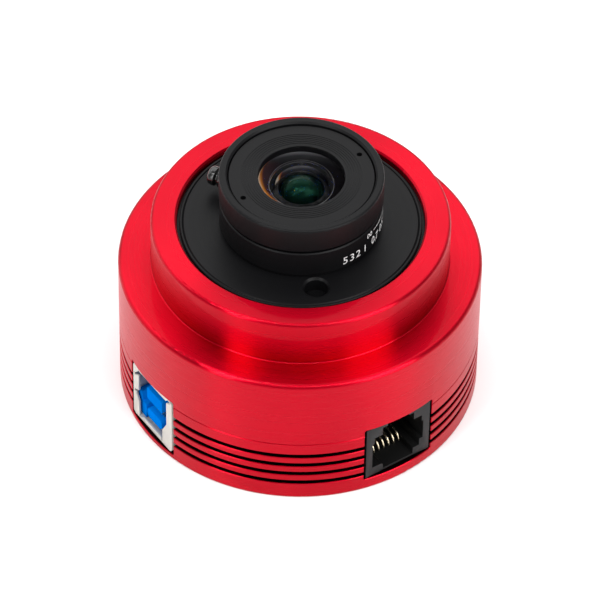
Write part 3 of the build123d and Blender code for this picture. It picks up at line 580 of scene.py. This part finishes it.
def lettering(text, height):
    """Flat numerals with a hair's thickness, as a mesh, in metres."""
    curve = bpy.data.curves.new("lettering", "FONT")
    curve.body = text
    curve.size = height * MM / CAPITAL_SHARE
    curve.space_character = 0.92
    curve.resolution_u = 6
    curve.extrude = PAINT_DEPTH * MM
    return mesh_of("lettering", curve)


def strip(bm, places, radius):
    """Rows of vertices for a painted strip round the barrel. A place is two (angle, metres up) pairs."""
    out = radius + PAINT_DEPTH * MM
    rows = []
    for pair in places:
        rows.append([bm.verts.new((out * math.cos(turn), out * math.sin(turn), z)) for turn, z in pair])
    return rows


def join_rows(bm, rows, closed):
    """Faces between neighbouring rows of two vertices, and from the last to the first of a closed strip."""
    for near, far in zip(rows, rows[1:] + rows[:1] if closed else rows[1:]):
        bm.faces.new((near[0], far[0], far[1], near[1]))


def infinity_places(radius, steps=64):
    """Both edges of the infinity sign's stroke, a figure of eight lying on its side."""
    places = []
    for i in range(steps):
        t = 2 * math.pi * i / steps
        x, y = INFINITY_HALF_WIDTH * math.sin(t), INFINITY_HALF_HEIGHT * math.sin(2 * t)
        dx, dy = INFINITY_HALF_WIDTH * math.cos(t), 2 * INFINITY_HALF_HEIGHT * math.cos(2 * t)
        side = Vector((-dy, dx)) / math.hypot(dx, dy) * STROKE_HALF_WIDTH
        places.append([(math.radians(INFINITY_ANGLE) + (x + sign * side.x) * MM / radius,
                        (INFINITY_Z + y + sign * side.y) * MM) for sign in (-1, 1)])
    return places


def line_places(steps=60):
    """Both edges of the line that runs on from the infinity sign."""
    places = []
    for i in range(steps + 1):
        turn = math.radians(SCALE_LINE_START + (SCALE_LINE_END - SCALE_LINE_START) * i / steps)
        places.append([(turn, (SCALE_LINE_Z + sign * LINE_HALF_WIDTH) * MM) for sign in (-1, 1)])
    return places


def make_scale():
    """Generic distance scale painted round the barrel: numerals, the far mark and a line under the ring."""
    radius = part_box("lens_barrel")[1].x
    bm = bmesh.new()
    for text, angle in SCALE_MARKS:
        bm.from_mesh(wrapped(lettering(text, SCALE_TEXT_HEIGHT), angle, SCALE_TEXT_Z * MM, radius))
    join_rows(bm, strip(bm, infinity_places(radius), radius), closed=True)
    join_rows(bm, strip(bm, line_places(), radius), closed=False)
    mesh = bpy.data.meshes.new("scale")
    bm.to_mesh(mesh)
    bm.free()
    keep("distance_scale", mesh, "camera", material=MATERIALS["scale_paint"])


# ---------------------------------------------------------------- ports and threads
def make_ports():
    """The port mouldings and the folded shell with rounded edges, and round contact wires.

    The guide port's moulding gets painted shade behind its face, as a darker plastic there.
    """
    keep("usb_shell_folded", softened("usb_shell", 0.06), "camera", "nickel_steel", ["usb_shell"])
    keep("usb_tongues", softened("usb_insulator", 0.12), "camera", "blue_plastic", ["usb_insulator"])
    moulding = softened("guide_port_housing", 0.1)
    keep("guide_port_moulding", moulding, "camera", "black_plastic", ["guide_port_housing"])
    moulding.materials.append(MATERIALS["port_inside"])
    inside_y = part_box("guide_port_housing")[0].y + 0.3 * MM
    # faces behind the port's face get the painted shade
    for face in moulding.polygons:
        face.material_index = int(face.center[1] > inside_y)
    low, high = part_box("guide_port_contacts")
    count, thickness = 6, 0.42 * MM
    pitch = (high.x - low.x - thickness) / (count - 1)
    # depth behind the port's face and height over its floor, from the mouth to the back wall
    profile = ((0.55, 0.17), (0.4, 0.17), (0.18, 0.3), (0.3, 0.8), (0.62, 1.35), (1.0, 1.62), (2.3, 1.98),
               (5.4, 2.45), (8.5, 2.8))
    paths = [[(low.x + thickness / 2 + pitch * i, low.y + depth * MM, low.z + height * MM)
              for depth, height in profile] for i in range(count)]
    keep("guide_port_wires", wires(paths, 0.19), "camera", "gold_contact", ["guide_port_contacts"])


def make_threads():
    """Tripod thread in the rear face, and the start of the thread in the nose's bore over the adapter."""
    sunk = 0.02
    tripod = MOUNTS["tripod_thread"]["dims"]
    wall, tripod_pitch, start = tripod["r_mm"], 1.27, 1.1
    mesh = helix_thread(wall + sunk, wall - 0.19, tripod_pitch, start, tripod["length_mm"] - 0.4)
    keep("tripod_thread", mesh, "camera", "red_anodised")
    bore, crest, bore_pitch, low, high = 21.05, 20.8, 0.75, 35.05, 35.4
    mesh = helix_thread(bore + sunk, crest, bore_pitch, low, high, 360)
    keep("nose_thread", mesh, "camera", "red_anodised")


# ---------------------------------------------------------------- studio
CAMERA_AZIMUTH = -34.9       # degrees, 0 looks along +Y
CAMERA_ELEVATION = 45.451
CAMERA_ROLL = 0.991
CAMERA_DISTANCE = 0.8223
CAMERA_TARGET = Vector((0.0000757, -0.0000528, 0.016277))
CAMERA_LENS = 287.33         # mm, on a 36 mm sensor
SOFTBOX_DISTANCE = 0.6
SOFTBOXES = (                # name, azimuth from behind the camera, elevation, size in metres, brightness
    ("back_top", 180, 50, (0.8, 0.6), 1.75),
    ("overhead_strip", -18, 66, (0.55, 0.1), 8.0),
    ("front_left_strip", -42, 34, (0.15, 0.7), 4.2),
    ("front_right", 51, 36, (0.34, 0.7), 4.4),
    ("left", -112, 35, (0.5, 0.6), 1.3),
)


def make_camera():
    """Long lens looking down between the two ports, with the photograph's slight roll."""
    azimuth, elevation, roll = map(math.radians, (CAMERA_AZIMUTH, CAMERA_ELEVATION, CAMERA_ROLL))
    back = Vector((math.sin(azimuth) * math.cos(elevation), -math.cos(azimuth) * math.cos(elevation),
                   math.sin(elevation)))
    level = Vector((math.cos(azimuth), math.sin(azimuth), 0.0))
    upright = back.cross(level)
    right = level * math.cos(roll) + upright * math.sin(roll)
    up = back.cross(right)
    data = bpy.data.cameras.new("camera")
    data.sensor_width = 36.0
    data.lens = CAMERA_LENS
    data.clip_start, data.clip_end = 0.01, 20.0
    camera = bpy.data.objects.new("camera", data)
    bpy.context.scene.collection.objects.link(camera)
    turn = Matrix((right, up, back)).transposed().to_4x4()
    camera.matrix_world = Matrix.Translation(CAMERA_TARGET + back * CAMERA_DISTANCE) @ turn
    bpy.context.scene.camera = camera


def softbox(name, azimuth, elevation, size, brightness):
    """Area light aimed at the object's middle. Its azimuth is counted from the camera's."""
    a, e = math.radians(CAMERA_AZIMUTH + azimuth), math.radians(elevation)
    aim = Vector((0, 0, 0.02))
    back = Vector((math.sin(a) * math.cos(e), -math.cos(a) * math.cos(e), math.sin(e)))
    data = bpy.data.lights.new(name, "AREA")
    data.shape = "RECTANGLE"
    data.size, data.size_y = size
    data.energy = brightness * math.pi * size[0] * size[1]
    light = bpy.data.objects.new(name, data)
    bpy.context.scene.collection.objects.link(light)
    light.location = aim + back * SOFTBOX_DISTANCE
    light.rotation_euler = back.to_track_quat("Z", "Y").to_euler()


def make_studio():
    """Pale floor, bright surroundings and soft lights above and at both sides."""
    bpy.ops.mesh.primitive_circle_add(vertices=96, radius=2.5, fill_type="NGON")
    floor = bpy.context.object
    floor.name = "studio_floor"
    shade = Shade("studio_floor").set(Roughness=0.9, Specular_IOR_Level=0.1)
    shade.colours(shade.noise(3.0), (0.3, (0.86, 0.86, 0.86)), (0.7, (0.88, 0.88, 0.88)))
    floor.data.materials.append(shade.material)
    world = bpy.data.worlds.new("studio")
    world.use_nodes = True
    background = world.node_tree.nodes["Background"]
    background.inputs["Color"].default_value = (1, 1, 1, 1)
    background.inputs["Strength"].default_value = 0.36
    bpy.context.scene.world = world
    for box in SOFTBOXES:
        softbox(*box)
    bpy.context.scene.view_settings.view_transform = "Standard"


# ---------------------------------------------------------------- build
make_camera()
make_studio()
paint_nodes()
make_front_element()
make_second_element()
make_lock_screw()
make_scale()
make_ports()
make_threads()
